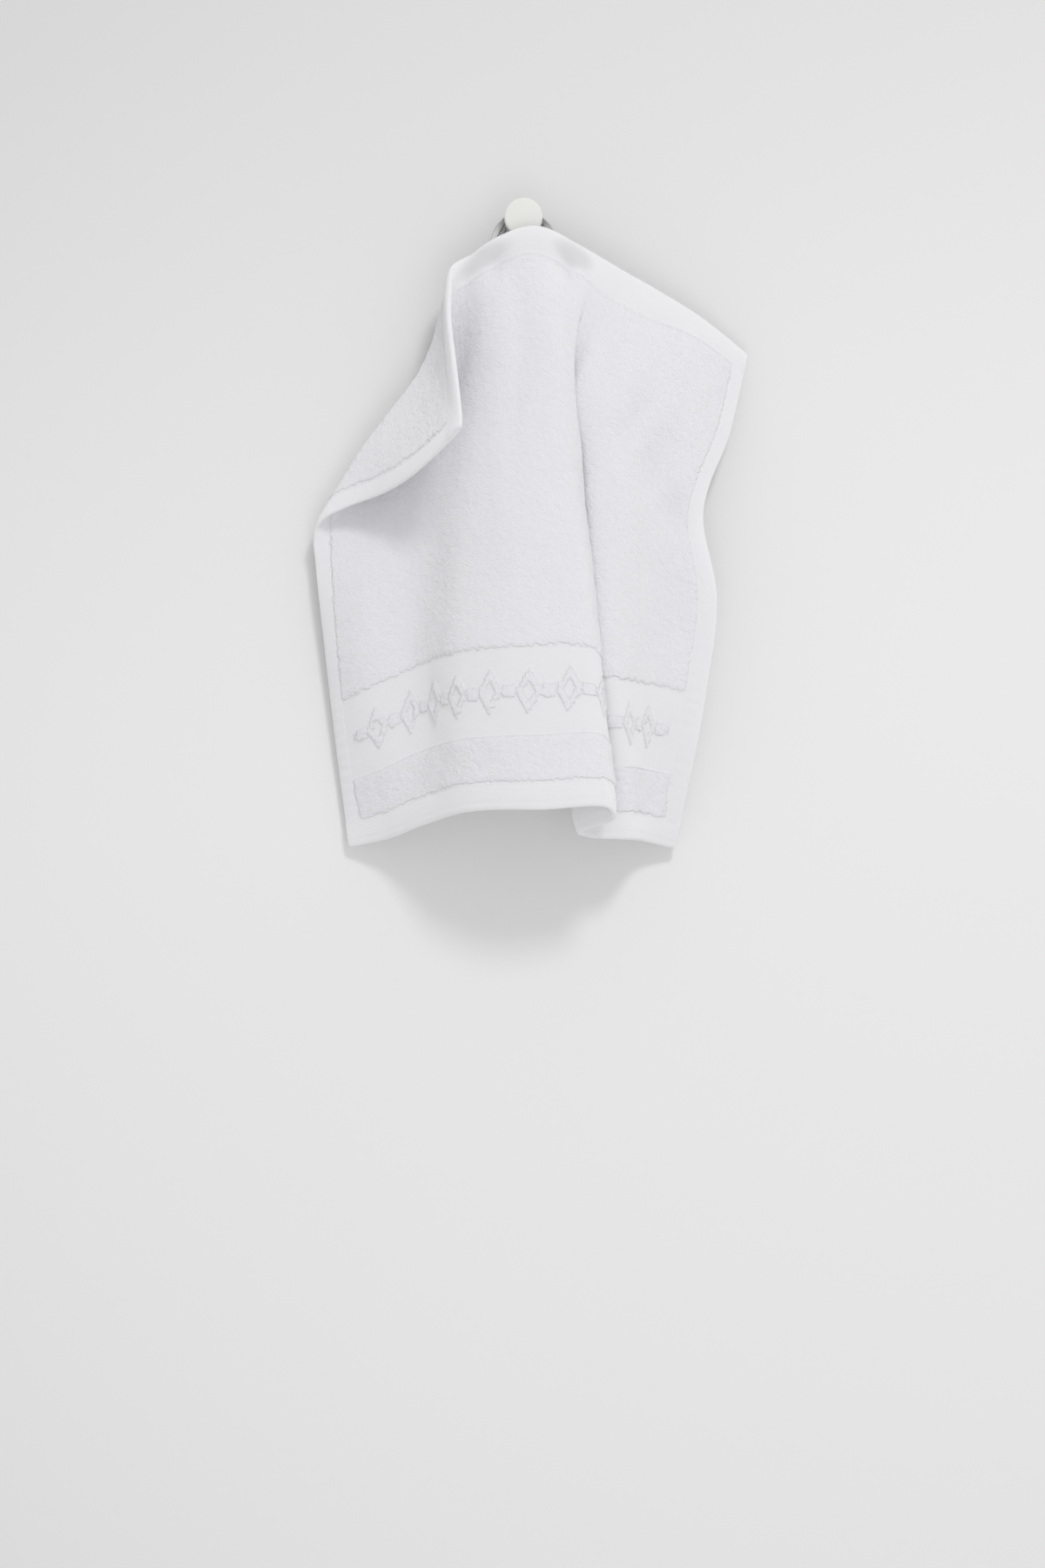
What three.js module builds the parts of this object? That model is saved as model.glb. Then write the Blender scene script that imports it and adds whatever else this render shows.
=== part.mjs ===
// A terry washcloth hanging by its tape loop from a small round wall knob.
// Millimetres, +Z up. The origin is the middle of the knob's flat back, which lies on the wall plane y = 0,
// and everything stands in front of that plane, towards -Y.
// A point of the cloth is named by u, measured across from its left edge, and v, measured down from its top.
import * as THREE from "three";

const CLOTH_WIDTH = 312;
const CLOTH_HEIGHT = 330;

// Widths of the woven zones, counted from the bottom edge up, and of the strips along the other edges.
const BOTTOM_HEM = 15;
const TERRY_STRIP = 25;
const FLAT_BAND = 50;
const TOP_HEM = 15;
const SIDE_HEM = 10;

// Full thickness of the cloth in each zone.
const PILE_THICKNESS = 4.2;
const FLAT_THICKNESS = 2.6;
const HEM_THICKNESS = 3.8;
const SIDE_THICKNESS = 3.0;
const MOTIF_THICKNESS = 4.4;
const EDGE_ROUNDING = 1.2;

// The raised motif in the flat band: one row of lozenges with a small square between each two.
const MOTIF_HEIGHT = 26;
const MOTIF_COUNT = 15;
const MOTIF_WIDTH = 14;
const SQUARE_SIZE = 7;

// The fold lines run down the cloth, listed from left to right. Each has its height z at the top, middle and
// bottom of the cloth, and its x and its distance from the wall at the six levels named in LEVELS.
const LEVELS = [0, 60, 120, 180, 240, 330];
const FOLD_LINES = [
  { name: "left edge", z: [-46, -206, -355], x: [-124, -118, -119.5, -115, -109, -99], wall: [20, 17.5, 12.5, 11, 8, 6] },
  { name: "left panel", z: [-42, -195, -350], x: [-94, -94.5, -94, -93, -86, -77], wall: [28.5, 19, 11, 24, 28, 20] },
  { name: "valley", z: [-26, -182, -342], x: [-34.5, -35.5, -54, -59, -61, -56], wall: [33.5, 28, 28, 30, 34, 42] },
  { name: "bulge side", z: [-15, -174, -334], x: [-17, -21, -26, -29, -32, -28], wall: [43, 43, 52, 60, 70, 74] },
  { name: "bulge", z: [-8, -170, -333], x: [6, 4, 4, 4, 6, 10], wall: [46, 51, 60, 74, 85, 90] },
  { name: "front fold", z: [-17, -174, -333], x: [30, 20, 25, 33, 39, 48], wall: [41, 50, 58, 69, 79, 84] },
  { name: "turn", z: [-21, -180, -338], x: [38, 27, 31, 36, 42, 50], wall: [38, 46, 53, 62, 71, 74] },
  { name: "tuck", z: [-26, -185, -347], x: [47, 22, 18, 15, 17, 31], wall: [36, 41, 46, 53, 58, 58] },
  { name: "tuck back", z: [-31, -187, -349], x: [56, 26, 29, 28.5, 30, 38], wall: [34, 37, 40, 45, 49, 50] },
  { name: "right panel", z: [-40, -189, -350], x: [73, 33, 37, 39.5, 45, 55], wall: [30, 44, 51, 58, 65, 47] },
  { name: "hollow", z: [-55, -196, -352], x: [100, 90, 80, 82, 79, 70], wall: [19, 30, 37, 30, 30, 18] },
  { name: "right edge", z: [-75, -203, -356], x: [127, 117, 101, 108, 102, 86], wall: [9, 14, 27, 38, 31, 8] },
];

// Soft dents in the cloth, deep towards the wall where depth is above 0, with their half widths across and down.
const DENTS = [
  { name: "left loop pull", u: 131, v: 17, across: 9, down: 9, depth: 5 },
  { name: "right loop pull", u: 176, v: 17, across: 9, down: 9, depth: 5 },
  { name: "hem lean", u: 151, v: 0, across: 32, down: 9, depth: -2.5 },
  { name: "hem pinch", u: 189, v: 8, across: 3.5, down: 8, depth: 2 },
  { name: "centre valley", u: 144, v: 75, across: 8, down: 60, depth: 2 },
  { name: "centre ridge", u: 162, v: 50, across: 9, down: 55, depth: -1.5 },
  { name: "shoulder valley top", u: 220, v: 47, across: 9, down: 22, depth: 3 },
  { name: "shoulder valley middle", u: 244, v: 78, across: 10, down: 24, depth: 6 },
  { name: "shoulder valley low", u: 269, v: 108, across: 12, down: 24, depth: 8 },
  { name: "shoulder valley end", u: 293, v: 132, across: 12, down: 18, depth: 6 },
];

// The top left corner is folded to the front. Its bend starts along a bowed line from the top edge to the left
// edge, and turns by these angles at the line's top, middle and lower end.
const CORNER_TOP = 111;
const CORNER_SIDE = 149;
const CORNER_BOW = 10.4;
// How much more the line is bowed near its top end than in its middle, and less near its lower end.
const CORNER_SKEW = 0.65;
const BEND_RADIUS = 7;
const BEND_DEGREES = [129, 138, 159];
const CORNER_DRIFT = 0.17;

// Steps of the cloth's mesh across each motif, and down the terry field.
const STEPS_PER_MOTIF = 4;
const FIELD_STEPS = 26;
const SAMPLES = 160;

// The wall knob, a turned piece: radii and distances from the wall.
const KNOB_BASE_RADIUS = 8;
const KNOB_NECK_RADIUS = 5.5;
const KNOB_HEAD_RADIUS = 10.8;
const KNOB_FLARE = 12;
const KNOB_HEAD_BACK = 28;
const KNOB_FRONT = 38;
const KNOB_EDGE = 1.2;
const KNOB_STEPS = 40;

// The hanging loop, a flat tape sewn to the back of the top hem at two places.
const TAPE_WIDTH = 12;
const TAPE_THICKNESS = 1.2;
const TAPE_CENTRE_U = 149;
const TAPE_HALF_SPAN = 14;
const TAPE_DEPTH_ON_NECK = 21;
// Where each leg bends between the neck and the hem, with the turn of its width in degrees.
const LEG_BENDS = [
  { out: 8.6, wall: 21.5, z: 0.5, turn: 12 },
  { out: 11.8, wall: 24.5, z: -6.5, turn: 45 },
  { out: 13.6, wall: 32, z: -13, turn: 75 },
];
const TAPE_STEPS = 44;
const NECK_GAP = 0.6;
// How far behind the hem's back each leg lies at levels v down the hem.
const SEWN_LEVELS = [
  { v: 2, gap: 3 },
  { v: 6, gap: 1.5 },
  { v: 12, gap: 1.2 },
];

const FIELD_END = CLOTH_HEIGHT - BOTTOM_HEM - TERRY_STRIP - FLAT_BAND;
const STRIP_START = CLOTH_HEIGHT - BOTTOM_HEM - TERRY_STRIP;
const HEM_START = CLOTH_HEIGHT - BOTTOM_HEM;
const MOTIF_PITCH = CLOTH_WIDTH / MOTIF_COUNT;
const MOTIF_MIDDLE = FIELD_END + FLAT_BAND / 2;
const CORNER_CHORD = Math.hypot(CORNER_TOP, CORNER_SIDE);

function clamp(value, low, high) {
  return Math.min(Math.max(value, low), high);
}

// Slope of the values at each knot, weighted between its two neighbours.
function slopes(knots, values) {
  const last = knots.length - 1;
  const rise = (i) => (values[i + 1] - values[i]) / (knots[i + 1] - knots[i]);
  const result = [];
  for (let i = 1; i < last; i++) {
    const before = knots[i] - knots[i - 1];
    const after = knots[i + 1] - knots[i];
    result[i] = (rise(i - 1) * after + rise(i) * before) / (before + after);
  }
  result[0] = 1.5 * rise(0) - 0.5 * result[1];
  result[last] = 1.5 * rise(last - 1) - 0.5 * result[last - 1];
  return result;
}

// A smooth curve of cubic pieces through the values at the knots.
function smoothCurve(knots, values) {
  const slope = slopes(knots, values);
  return (t) => {
    let i = 0;
    while (i < knots.length - 2 && t > knots[i + 1]) {
      i += 1;
    }
    const step = knots[i + 1] - knots[i];
    const w = (t - knots[i]) / step;
    const rest = 1 - w;
    return (
      (1 + 2 * w) * rest * rest * values[i] +
      w * rest * rest * step * slope[i] +
      w * w * (3 - 2 * w) * values[i + 1] -
      w * w * rest * step * slope[i + 1]
    );
  };
}

// The same smooth curve through points in space.
function smoothPath(knots, points) {
  const [x, y, z] = ["x", "y", "z"].map((axis) => smoothCurve(knots, points.map((point) => point[axis])));
  return (t) => new THREE.Vector3(x(t), y(t), z(t));
}

const lineX = FOLD_LINES.map((line) => smoothCurve(LEVELS, line.x));
const lineWall = FOLD_LINES.map((line) => smoothCurve(LEVELS, line.wall));

// Height of a fold line at level v: the parabola through its top, middle and bottom.
function lineHeight(line, v) {
  const t = v / CLOTH_HEIGHT;
  const [top, middle, bottom] = line.z;
  return 2 * (t - 0.5) * (t - 1) * top + 4 * t * (1 - t) * middle + 2 * t * (t - 0.5) * bottom;
}

// The cloth's cross section at level v: a smooth curve through the fold lines, with its length so far
// at SAMPLES even steps.
const sectionCache = new Map();
function section(v) {
  const key = v.toFixed(4);
  if (sectionCache.has(key)) {
    return sectionCache.get(key);
  }
  const points = FOLD_LINES.map(
    (line, i) => new THREE.Vector3(lineX[i](v), -lineWall[i](v), lineHeight(line, v))
  );
  const knots = [0];
  for (let i = 1; i < points.length; i++) {
    knots.push(knots[i - 1] + points[i].distanceTo(points[i - 1]));
  }
  const at = smoothPath(knots, points);
  const end = knots[knots.length - 1];
  const lengths = [0];
  let previous = at(0);
  for (let i = 1; i <= SAMPLES; i++) {
    const next = at((end * i) / SAMPLES);
    lengths.push(lengths[i - 1] + next.distanceTo(previous));
    previous = next;
  }
  const result = { at, end, lengths };
  sectionCache.set(key, result);
  return result;
}

function dentDepth(u, v) {
  let depth = 0;
  for (const dent of DENTS) {
    const across = (u - dent.u) / dent.across;
    const down = (v - dent.v) / dent.down;
    depth += dent.depth * Math.exp(-across * across - down * down);
  }
  return depth;
}

// The middle of the cloth at (u, v), before its corner is folded over.
function openCloth(u, v) {
  const { at, end, lengths } = section(v);
  const total = lengths[SAMPLES];
  const wanted = (u / CLOTH_WIDTH) * total;
  let i = 0;
  while (i < SAMPLES - 1 && wanted > lengths[i + 1]) {
    i += 1;
  }
  const part = (wanted - lengths[i]) / (lengths[i + 1] - lengths[i]);
  const point = at((end * (i + part)) / SAMPLES);
  point.y += dentDepth(u, v);
  return point;
}

// How far the bend's line is bowed from its chord at fraction t.
function bowAt(t) {
  return 4 * CORNER_BOW * t * (1 - t) * (1 + CORNER_SKEW * (1 - 2 * t));
}

// The material point where the bend starts, at fraction t of its line from the top edge.
function bendStart(t) {
  const bow = bowAt(t);
  return [
    CORNER_TOP * (1 - t) + (bow * CORNER_SIDE) / CORNER_CHORD,
    CORNER_SIDE * t + (bow * CORNER_TOP) / CORNER_CHORD,
  ];
}

// Directions at the bend's start: along its line, out across it, and forward out of the cloth.
function bendFrame(t) {
  const reach = 6;
  const [u, v] = bendStart(t);
  const base = openCloth(u, v);
  const inner = openCloth(u + (reach * CORNER_SIDE) / CORNER_CHORD, v + (reach * CORNER_TOP) / CORNER_CHORD);
  const before = openCloth(...bendStart(clamp(t - 0.03, 0, 1)));
  const after = openCloth(...bendStart(clamp(t + 0.03, 0, 1)));
  const along = after.sub(before).normalize();
  const out = base.clone().sub(inner);
  out.addScaledVector(along, -out.dot(along)).normalize();
  const front = new THREE.Vector3().crossVectors(out, along);
  if (front.y > 0) {
    front.negate();
  }
  return { base, along, out, front };
}

const bendAngle = smoothCurve([0, 0.5, 1], BEND_DEGREES.map(THREE.MathUtils.degToRad));

// The middle of the cloth at (u, v). Beyond the bend's start it turns forward on an arc, then runs straight.
function cloth(u, v) {
  const t = ((CORNER_TOP - u) * CORNER_TOP + v * CORNER_SIDE) / (CORNER_CHORD * CORNER_CHORD);
  const held = clamp(t, 0, 1);
  const chordGap = ((1 - u / CORNER_TOP - v / CORNER_SIDE) * CORNER_TOP * CORNER_SIDE) / CORNER_CHORD;
  const beyond = chordGap + bowAt(held);
  if (beyond <= 0) {
    return openCloth(u, v);
  }
  const { base, along, out, front } = bendFrame(held);
  const angle = bendAngle(t);
  const turned = Math.min(beyond / BEND_RADIUS, angle);
  const straight = Math.max(beyond - BEND_RADIUS * angle, 0);
  return base
    .addScaledVector(along, (t - held) * CORNER_CHORD + straight * CORNER_DRIFT)
    .addScaledVector(out, BEND_RADIUS * Math.sin(turned) + straight * Math.cos(angle))
    .addScaledVector(front, BEND_RADIUS * (1 - Math.cos(turned)) + straight * Math.sin(angle));
}

// The cloth's front direction at (u, v), from points a step either way.
function clothNormal(u, v) {
  const step = 1.5;
  const left = Math.max(u - step, 0);
  const right = Math.min(u + step, CLOTH_WIDTH);
  const up = Math.max(v - step, 0);
  const down = Math.min(v + step, CLOTH_HEIGHT);
  const across = cloth(right, v).sub(cloth(left, v));
  const fall = cloth(u, down).sub(cloth(u, up));
  return fall.cross(across).normalize();
}

// How far (u, v) lies inside the raised motif: above 0 inside a lozenge or a square.
function motifInside(u, v) {
  const down = Math.abs(v - MOTIF_MIDDLE);
  const place = (u - CLOTH_WIDTH / 2) / MOTIF_PITCH;
  const fromLozenge = Math.abs(place - Math.round(place)) * MOTIF_PITCH;
  const fromSquare = MOTIF_PITCH / 2 - fromLozenge;
  const lozenge = 1 - fromLozenge / (MOTIF_WIDTH / 2) - down / (MOTIF_HEIGHT / 2);
  const square = 1 - Math.max(fromSquare, down) / (SQUARE_SIZE / 2);
  return Math.max(lozenge, square);
}

// Half of the cloth's thickness at (u, v), from the zone that it lies in.
function halfThickness(u, v) {
  const fromSide = Math.min(u, CLOTH_WIDTH - u);
  let thickness = PILE_THICKNESS;
  if (v < TOP_HEM || v > HEM_START) {
    thickness = HEM_THICKNESS;
  } else if (fromSide < SIDE_HEM) {
    thickness = SIDE_THICKNESS;
  } else if (v > FIELD_END && v < STRIP_START) {
    const inMotif = fromSide > 2 * SIDE_HEM && motifInside(u, v) >= -0.1;
    thickness = inMotif ? MOTIF_THICKNESS : FLAT_THICKNESS;
  }
  return thickness / 2;
}

// Even steps from one value to another, without the first.
function evenSteps(from, to, count) {
  return Array.from({ length: count }, (_, i) => from + ((to - from) * (i + 1)) / count);
}

// The levels v of the mesh rows: a row just inside and outside each change of zone.
function meshLevels() {
  const edge = 1;
  const motifTop = MOTIF_MIDDLE - MOTIF_HEIGHT / 2;
  const motifBottom = MOTIF_MIDDLE + MOTIF_HEIGHT / 2;
  return [
    0,
    ...evenSteps(0, TOP_HEM - edge, 2),
    ...evenSteps(TOP_HEM - edge, FIELD_END - edge, FIELD_STEPS),
    FIELD_END + edge,
    ...evenSteps(FIELD_END + edge, motifTop, 1),
    ...evenSteps(motifTop, motifBottom, 6),
    STRIP_START - edge,
    STRIP_START + edge,
    ...evenSteps(STRIP_START + edge, HEM_START - edge, 3),
    HEM_START + edge,
    ...evenSteps(HEM_START + edge, CLOTH_HEIGHT, 2),
  ];
}

// A mesh from points and from triangles that name them by number.
function meshFrom(points, triangles) {
  const geometry = new THREE.BufferGeometry();
  geometry.setAttribute("position", new THREE.Float32BufferAttribute(points.flatMap((p) => [p.x, p.y, p.z]), 3));
  geometry.setIndex(triangles);
  geometry.computeVertexNormals();
  return geometry;
}

function clothGeometry() {
  const across = [0, ...evenSteps(0, CLOTH_WIDTH, MOTIF_COUNT * STEPS_PER_MOTIF)];
  const down = meshLevels();
  const columns = across.length;
  const rows = down.length;
  const front = [];
  const back = [];
  for (const v of down) {
    for (const u of across) {
      const middle = cloth(u, v);
      const normal = clothNormal(u, v);
      const half = halfThickness(u, v);
      front.push(middle.clone().addScaledVector(normal, half));
      back.push(middle.clone().addScaledVector(normal, -half));
    }
  }
  const points = [...front, ...back];
  const triangles = [];
  const backStart = front.length;
  for (let j = 0; j < rows - 1; j++) {
    for (let i = 0; i < columns - 1; i++) {
      const a = j * columns + i;
      const b = a + 1;
      const c = a + columns;
      const d = c + 1;
      triangles.push(a, c, b, b, c, d);
      triangles.push(backStart + a, backStart + b, backStart + c);
      triangles.push(backStart + b, backStart + d, backStart + c);
    }
  }
  closeRim(points, triangles, rimLoop(rows, columns), backStart);
  return meshFrom(points, triangles);
}

// The outer points of the grid in one loop, anticlockwise as seen from the front.
function rimLoop(rows, columns) {
  const loop = [];
  for (let j = 0; j < rows - 1; j++) {
    loop.push(j * columns);
  }
  for (let i = 0; i < columns - 1; i++) {
    loop.push((rows - 1) * columns + i);
  }
  for (let j = rows - 1; j > 0; j--) {
    loop.push(j * columns + columns - 1);
  }
  for (let i = columns - 1; i > 0; i--) {
    loop.push(i);
  }
  return loop;
}

// A rounded edge: a middle line pushed outwards, joined to the front and the back.
function closeRim(points, triangles, loop, backStart) {
  const start = points.length;
  const middles = loop.map((index) => points[index].clone().add(points[backStart + index]).multiplyScalar(0.5));
  loop.forEach((index, k) => {
    const next = middles[(k + 1) % loop.length];
    const previous = middles[(k + loop.length - 1) % loop.length];
    const along = next.clone().sub(previous);
    const through = points[index].clone().sub(points[backStart + index]);
    const outward = along.cross(through).normalize();
    points.push(middles[k].clone().addScaledVector(outward, EDGE_ROUNDING));
  });
  loop.forEach((index, k) => {
    const other = (k + 1) % loop.length;
    const following = loop[other];
    const middle = start + k;
    const middleNext = start + other;
    triangles.push(index, middle, following, following, middle, middleNext);
    triangles.push(middle, backStart + index, middleNext, middleNext, backStart + index, backStart + following);
  });
}

// One leg of the tape, from the top of the neck down to its sewn end: points of its middle line, each with
// the direction of its width, which lies along the neck there and along the hem at the end. side is -1 or 1.
function legStations(side) {
  const stations = [];
  const ring = KNOB_NECK_RADIUS + NECK_GAP + TAPE_THICKNESS / 2;
  for (const degrees of [0, 30, 60]) {
    const angle = THREE.MathUtils.degToRad(degrees);
    const point = new THREE.Vector3(
      side * ring * Math.sin(angle),
      -TAPE_DEPTH_ON_NECK,
      ring * Math.cos(angle)
    );
    stations.push({ point, width: new THREE.Vector3(0, 1, 0) });
  }
  for (const { out, wall, z, turn } of LEG_BENDS) {
    const angle = THREE.MathUtils.degToRad(turn);
    const width = new THREE.Vector3(-side * Math.sin(angle), Math.cos(angle), 0);
    stations.push({ point: new THREE.Vector3(side * out, -wall, z), width });
  }
  const u = TAPE_CENTRE_U + side * TAPE_HALF_SPAN;
  for (const { v, gap } of SEWN_LEVELS) {
    const clear = HEM_THICKNESS / 2 + gap + TAPE_THICKNESS / 2;
    const inner = cloth(u - (side * TAPE_WIDTH) / 2, v);
    const outer = cloth(u + (side * TAPE_WIDTH) / 2, v);
    const chord = inner.clone().add(outer).multiplyScalar(0.5);
    const middle = cloth(u, v);
    const nearest = chord.y > middle.y ? chord : middle;
    const point = nearest.addScaledVector(clothNormal(u, v), -clear);
    const width = inner.sub(outer).normalize();
    stations.push({ point, width });
  }
  return stations;
}

function loopGeometry() {
  const stations = [...legStations(-1).reverse(), ...legStations(1).slice(1)];
  const knots = [0];
  for (let i = 1; i < stations.length; i++) {
    knots.push(knots[i - 1] + stations[i].point.distanceTo(stations[i - 1].point));
  }
  const middleAt = smoothPath(knots, stations.map((station) => station.point));
  const widthAt = smoothPath(knots, stations.map((station) => station.width));
  const length = knots[knots.length - 1];
  const points = [];
  for (let i = 0; i <= TAPE_STEPS; i++) {
    const t = (length * i) / TAPE_STEPS;
    const middle = middleAt(t);
    const along = middleAt(Math.min(t + 0.5, length)).sub(middleAt(Math.max(t - 0.5, 0))).normalize();
    const width = widthAt(t);
    width.addScaledVector(along, -width.dot(along)).normalize();
    const face = new THREE.Vector3().crossVectors(along, width);
    for (const [w, f] of [[-1, -1], [1, -1], [1, 1], [-1, 1]]) {
      const corner = middle.clone().addScaledVector(width, (w * TAPE_WIDTH) / 2);
      points.push(corner.addScaledVector(face, (f * TAPE_THICKNESS) / 2));
    }
  }
  const triangles = [0, 2, 1, 0, 3, 2];
  for (let i = 0; i < TAPE_STEPS; i++) {
    for (let k = 0; k < 4; k++) {
      const a = 4 * i + k;
      const b = 4 * i + ((k + 1) % 4);
      triangles.push(a, b, a + 4, b, b + 4, a + 4);
    }
  }
  const end = 4 * TAPE_STEPS;
  triangles.push(end, end + 1, end + 2, end, end + 2, end + 3);
  return meshFrom(points, triangles);
}

function knobGeometry() {
  const profile = [
    [0, 0],
    [KNOB_BASE_RADIUS, 0],
    [KNOB_BASE_RADIUS, 1.5],
    [KNOB_NECK_RADIUS, KNOB_FLARE],
    [KNOB_NECK_RADIUS, KNOB_HEAD_BACK],
    [KNOB_HEAD_RADIUS - KNOB_EDGE, KNOB_HEAD_BACK],
    [KNOB_HEAD_RADIUS, KNOB_HEAD_BACK + KNOB_EDGE],
    [KNOB_HEAD_RADIUS, KNOB_FRONT - KNOB_EDGE],
    [KNOB_HEAD_RADIUS - KNOB_EDGE, KNOB_FRONT],
    [0, KNOB_FRONT],
  ];
  const points = profile.map(([radius, distance]) => new THREE.Vector2(radius, distance));
  return new THREE.LatheGeometry(points, KNOB_STEPS);
}

const terryWhite = new THREE.MeshStandardMaterial({ color: 0xe9e9ee, roughness: 0.95, metalness: 0 });
const tapeWhite = new THREE.MeshStandardMaterial({ color: 0xdcdcdf, roughness: 0.8, metalness: 0 });
const knobWhite = new THREE.MeshStandardMaterial({ color: 0xe8e8e2, roughness: 0.4, metalness: 0 });

function namedMesh(name, geometry, material) {
  const mesh = new THREE.Mesh(geometry, material);
  mesh.name = name;
  return mesh;
}

const knob = namedMesh("wall_knob", knobGeometry(), knobWhite);
knob.rotation.x = Math.PI;

const washclothOnKnob = new THREE.Group();
washclothOnKnob.add(knob);
washclothOnKnob.add(namedMesh("hanging_loop", loopGeometry(), tapeWhite));
washclothOnKnob.add(namedMesh("washcloth", clothGeometry(), terryWhite));

export default washclothOnKnob;
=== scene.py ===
"""A terry washcloth hanging by its tape loop from a small round wall knob.

Laid out as a Blender add-on: one operator for each piece, one for the studio, and a panel that lists them.
Lengths are metres. The wall is the plane y = 0, everything stands in front of it towards -Y, and +Z is up.
A point of the cloth is named by u, measured across from its left edge, and v, measured down from its top.
"""
import math

import bpy
import numpy as np
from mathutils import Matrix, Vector


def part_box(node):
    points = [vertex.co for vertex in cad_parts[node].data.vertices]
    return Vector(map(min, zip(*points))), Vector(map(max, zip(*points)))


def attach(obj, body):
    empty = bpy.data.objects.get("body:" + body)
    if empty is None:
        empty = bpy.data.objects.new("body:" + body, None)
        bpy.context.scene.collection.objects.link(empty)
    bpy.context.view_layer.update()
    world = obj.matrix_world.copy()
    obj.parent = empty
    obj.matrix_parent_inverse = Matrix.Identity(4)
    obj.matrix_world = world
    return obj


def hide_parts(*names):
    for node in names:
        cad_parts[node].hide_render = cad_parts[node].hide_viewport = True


bl_info = {
    "name": "Washcloth on a wall knob",
    "version": (1, 0, 0),
    "blender": (4, 5, 0),
    "location": "View3D > Sidebar > Washcloth",
    "description": "Builds a hanging terry washcloth, its tape loop, the knob and a plain studio",
    "category": "Add Mesh",
}

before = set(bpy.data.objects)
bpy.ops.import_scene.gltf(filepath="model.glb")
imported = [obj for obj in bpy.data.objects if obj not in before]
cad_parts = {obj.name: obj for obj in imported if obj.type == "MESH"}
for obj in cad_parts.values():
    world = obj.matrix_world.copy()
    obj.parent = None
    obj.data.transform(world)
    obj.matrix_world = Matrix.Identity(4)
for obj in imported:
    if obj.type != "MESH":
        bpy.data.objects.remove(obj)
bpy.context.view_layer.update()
KNOB_LOW, KNOB_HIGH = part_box("wall_knob")

MM = 0.001
CLOTH_MIDDLE = Vector((0, 0, -0.2))

# The cloth's cut size, and the widths of its woven zones from the bottom edge up and along its other edges.
CLOTH_WIDTH = 312 * MM
CLOTH_HEIGHT = 330 * MM
BOTTOM_HEM = 15 * MM
TERRY_STRIP = 25 * MM
FLAT_BAND = 50 * MM
TOP_HEM = 15 * MM
SIDE_HEM = 10 * MM
STRIP_INSET = 0.5 * MM
FIELD_END = CLOTH_HEIGHT - BOTTOM_HEM - TERRY_STRIP - FLAT_BAND
STRIP_START = CLOTH_HEIGHT - BOTTOM_HEM - TERRY_STRIP
HEM_START = CLOTH_HEIGHT - BOTTOM_HEM
EDGE_ROUNDING = 1.2 * MM

# The raised motif: one row of lozenges with a small square between each two.
MOTIF_HEIGHT = 26 * MM
MOTIF_COUNT = 15
MOTIF_WIDTH = 14 * MM
SQUARE_SIZE = 7 * MM
MOTIF_PITCH = CLOTH_WIDTH / MOTIF_COUNT
MOTIF_MIDDLE = FIELD_END + FLAT_BAND / 2

# The fold lines run down the cloth, listed from left to right. Each has its height at the top, middle and
# bottom of the cloth, and its x and its distance from the wall at the six levels v in LEVELS.
LEVELS = np.array([0, 60, 120, 180, 240, 330]) * MM
FOLD_LINES = {
    "left edge": [(-46, -206, -355), (-124, -118, -119.5, -115, -109, -99), (20, 17.5, 12.5, 11, 8, 6)],
    "left panel": [(-42, -195, -350), (-94, -94.5, -94, -93, -86, -77), (28.5, 19, 11, 24, 28, 20)],
    "valley": [(-26, -182, -342), (-34.5, -35.5, -54, -59, -61, -56), (33.5, 28, 28, 30, 34, 42)],
    "bulge side": [(-15, -174, -334), (-17, -21, -26, -29, -32, -28), (43, 43, 52, 60, 70, 74)],
    "bulge": [(-8, -170, -333), (6, 4, 4, 4, 6, 10), (46, 51, 60, 74, 85, 90)],
    "front fold": [(-17, -174, -333), (30, 20, 25, 33, 39, 48), (41, 50, 58, 69, 79, 84)],
    "turn": [(-21, -180, -338), (38, 27, 31, 36, 42, 50), (38, 46, 53, 62, 71, 74)],
    "tuck": [(-26, -185, -347), (47, 22, 18, 15, 17, 31), (36, 41, 46, 53, 58, 58)],
    "tuck back": [(-31, -187, -349), (56, 26, 29, 28.5, 30, 38), (34, 37, 40, 45, 49, 50)],
    "right panel": [(-40, -189, -350), (73, 33, 37, 39.5, 45, 55), (30, 44, 51, 58, 65, 47)],
    "hollow": [(-55, -196, -352), (100, 90, 80, 82, 79, 70), (19, 30, 37, 30, 30, 18)],
    "right edge": [(-75, -203, -356), (127, 117, 101, 108, 102, 86), (9, 14, 27, 38, 31, 8)],
}
LINE_Z = np.array([line[0] for line in FOLD_LINES.values()]) * MM
LINE_X = np.array([line[1] for line in FOLD_LINES.values()]) * MM
LINE_WALL = np.array([line[2] for line in FOLD_LINES.values()]) * MM
SAMPLES = 160

# Soft dents: place u and v, half widths across and down, and depth, towards the wall where it is above 0.
DENTS = {
    "left loop pull": (131, 17, 9, 9, 5),
    "right loop pull": (176, 17, 9, 9, 5),
    "hem lean": (151, 0, 32, 9, -2.5),
    "hem pinch": (189, 8, 3.5, 8, 2),
    "centre valley": (144, 75, 8, 60, 2),
    "centre ridge": (162, 50, 9, 55, -1.5),
    "shoulder valley top": (220, 47, 9, 22, 3),
    "shoulder valley middle": (244, 78, 10, 24, 6),
    "shoulder valley low": (269, 108, 12, 24, 8),
    "shoulder valley end": (293, 132, 12, 18, 6),
}

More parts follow.
